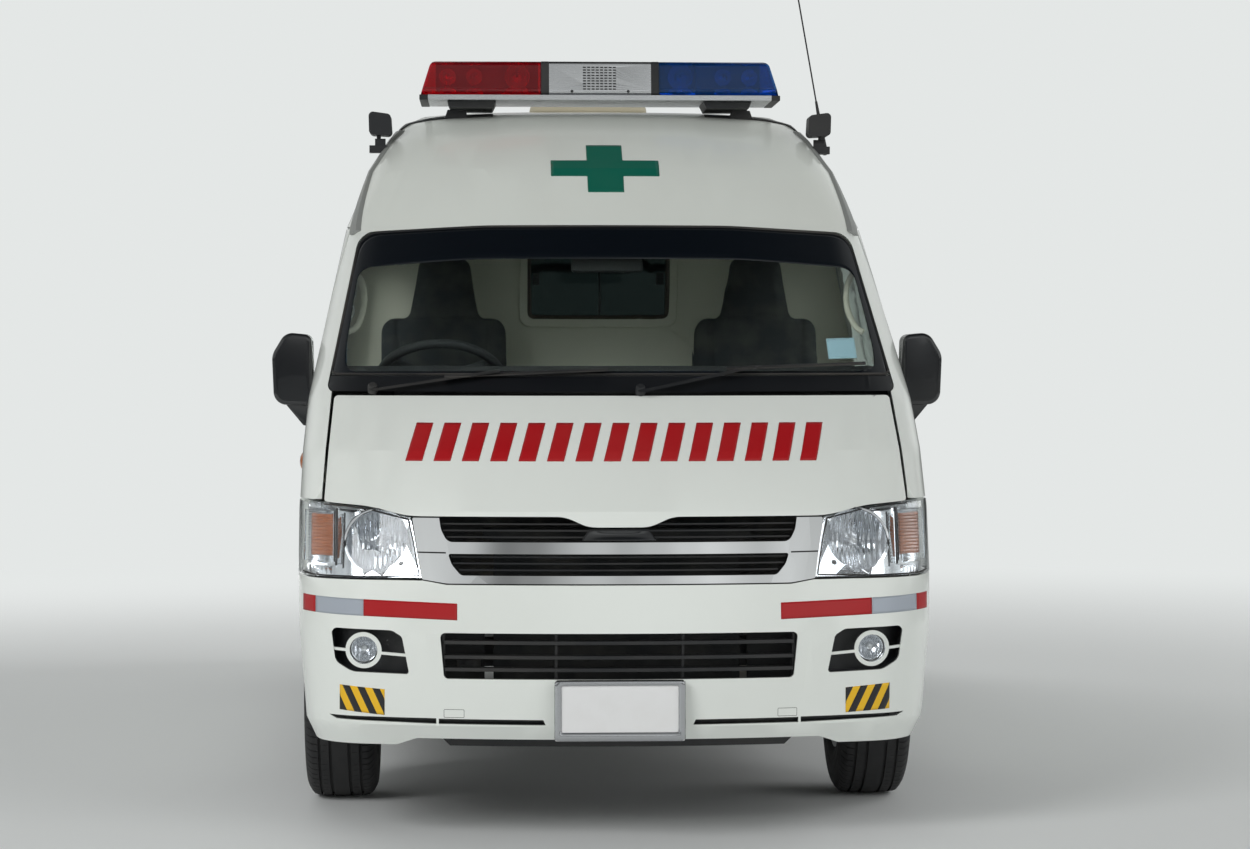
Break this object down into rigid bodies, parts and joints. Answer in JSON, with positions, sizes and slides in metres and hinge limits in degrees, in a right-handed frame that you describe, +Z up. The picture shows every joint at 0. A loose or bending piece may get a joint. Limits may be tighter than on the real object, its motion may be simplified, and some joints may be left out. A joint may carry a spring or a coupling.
{
  "type": "high-roof van ambulance",
  "caption": "High-roof van ambulance with hinged cab doors, bonnet and tailgate, steered front wheels, a roof light bar and a patient compartment with a stretcher.",
  "frame": {"origin": "on the ground, under the centre of the bounding box", "axes": "+X to the vehicle's left, +Y to its rear, +Z up; the front faces -Y"},
  "size_m": [2.0366, 5.3795, 2.9877],
  "materials": {
    "white_paint": "gloss",
    "roof_plastic": "gloss",
    "window_glass": "clear",
    "chrome": "polished",
    "black_plastic": "satin",
    "mirror_black": "gloss",
    "rubber": "matte",
    "tyre": "matte",
    "wheel_steel": "satin",
    "lamp_bowl": "polished",
    "clear_cover": "clear",
    "tail_lamp": "gloss",
    "bar_metal": "brushed",
    "red_dome": "clear",
    "blue_dome": "clear",
    "plate_white": "satin",
    "floor_steel": "satin",
    "lining": "satin",
    "dash_plastic": "satin",
    "seat_fabric": "woven",
    "engine_metal": "cast",
    "chassis_steel": "satin",
    "exhaust_steel": "dull",
    "bench_cover": "satin",
    "stretcher_metal": "satin"
  },
  "bodies": {
    "body": {"floor_pan": "floor_steel", "firewall": "floor_steel", "cab_frame": "white_paint", "side_panel_left": "white_paint", "side_panel_right": "white_paint", "high_roof": "roof_plastic", "drip_rails": "rubber", "bulkhead": "lining", "windscreen": "window_glass", "side_windows": "window_glass", "sliding_door": "white_paint", "front_bumper": "white_paint", "rear_bumper": "white_paint", "bumper_inserts": "black_plastic", "grille": "chrome", "grille_ribs": "black_plastic", "headlamp_bowls": "lamp_bowl", "lamp_covers": "clear_cover", "tail_lamps": "tail_lamp", "number_plate": "plate_white", "light_bar": "bar_metal", "light_bar_red_dome": "red_dome", "light_bar_blue_dome": "blue_dome", "roof_fittings": "black_plastic", "wipers": "black_plastic", "dashboard": "dash_plastic", "front_seats": "seat_fabric", "engine_block": "engine_metal", "radiator": "engine_metal", "exhaust": "exhaust_steel", "fuel_tank": "chassis_steel", "spare_wheel": "tyre", "front_suspension": "chassis_steel", "rear_axle": "chassis_steel", "stretcher": "stretcher_metal", "bench_cushions": "bench_cover", "mattress": "bench_cover", "seat_frames": "chassis_steel", "cowl_panel": "black_plastic", "light_bar_mounts": "black_plastic"},
    "front_door_left": {"front_door_left": "white_paint", "door_window_left": "window_glass", "mirror_left": "mirror_black"},
    "front_door_right": {"front_door_right": "white_paint", "door_window_right": "window_glass", "mirror_right": "mirror_black"},
    "tailgate": {"tailgate": "white_paint", "rear_window": "window_glass"},
    "bonnet": {"bonnet": "white_paint"},
    "knuckle_left": {"knuckle_left": "chassis_steel"},
    "knuckle_right": {"knuckle_right": "chassis_steel"},
    "steering_wheel": {"steering_wheel": "dash_plastic"},
    "wheel_front_left": {"tyre_front_left": "tyre", "rim_front_left": "wheel_steel"},
    "wheel_front_right": {"tyre_front_right": "tyre", "rim_front_right": "wheel_steel"},
    "wheel_rear_left": {"tyre_rear_left": "tyre", "rim_rear_left": "wheel_steel"},
    "wheel_rear_right": {"tyre_rear_right": "tyre", "rim_rear_right": "wheel_steel"}
  },
  "joints": [
    {"name": "steer_left", "type": "hinge", "parent": "body", "child": "knuckle_left", "pos_m": [0.775, -1.565, 0.343], "axis": [0, 0, 1], "range_deg": [-30, 30]},
    {"name": "steer_right", "type": "hinge", "parent": "body", "child": "knuckle_right", "pos_m": [-0.775, -1.565, 0.343], "axis": [0, 0, 1], "range_deg": [-30, 30]},
    {"name": "steering_wheel_turn", "type": "hinge", "parent": "body", "child": "steering_wheel", "pos_m": [-0.51, -1.705, 1.29], "axis": [0, 0.6, 0.8], "range_deg": [-490, 490]},
    {"name": "spin_front_left", "type": "hinge", "parent": "knuckle_left", "child": "wheel_front_left", "pos_m": [0.815, -1.565, 0.343], "axis": [1, 0, 0], "continuous": true},
    {"name": "spin_front_right", "type": "hinge", "parent": "knuckle_right", "child": "wheel_front_right", "pos_m": [-0.815, -1.565, 0.343], "axis": [1, 0, 0], "continuous": true},
    {"name": "spin_rear_left", "type": "hinge", "parent": "body", "child": "wheel_rear_left", "pos_m": [0.815, 1.545, 0.343], "axis": [1, 0, 0], "continuous": true},
    {"name": "spin_rear_right", "type": "hinge", "parent": "body", "child": "wheel_rear_right", "pos_m": [-0.815, 1.545, 0.343], "axis": [1, 0, 0], "continuous": true},
    {"name": "front_door_left_hinge", "type": "hinge", "parent": "body", "child": "front_door_left", "pos_m": [0.945, -2.026, 1], "axis": [0, 0, -1], "range_deg": [0, 70]},
    {"name": "front_door_right_hinge", "type": "hinge", "parent": "body", "child": "front_door_right", "pos_m": [-0.945, -2.026, 1], "axis": [0, 0, 1], "range_deg": [0, 70]},
    {"name": "tailgate_hinge", "type": "hinge", "parent": "body", "child": "tailgate", "pos_m": [0, 2.529, 2.052], "axis": [1, 0, 0], "range_deg": [0, 85]},
    {"name": "bonnet_hinge", "type": "hinge", "parent": "body", "child": "bonnet", "pos_m": [0, -2.318, 1.25], "axis": [-1, 0, 0], "range_deg": [0, 60]}
  ],
  "couplings": [
    {"joint": "steer_right", "follows": "steer_left", "ratio": 1},
    {"joint": "steering_wheel_turn", "follows": "steer_left", "ratio": 16}
  ]
}
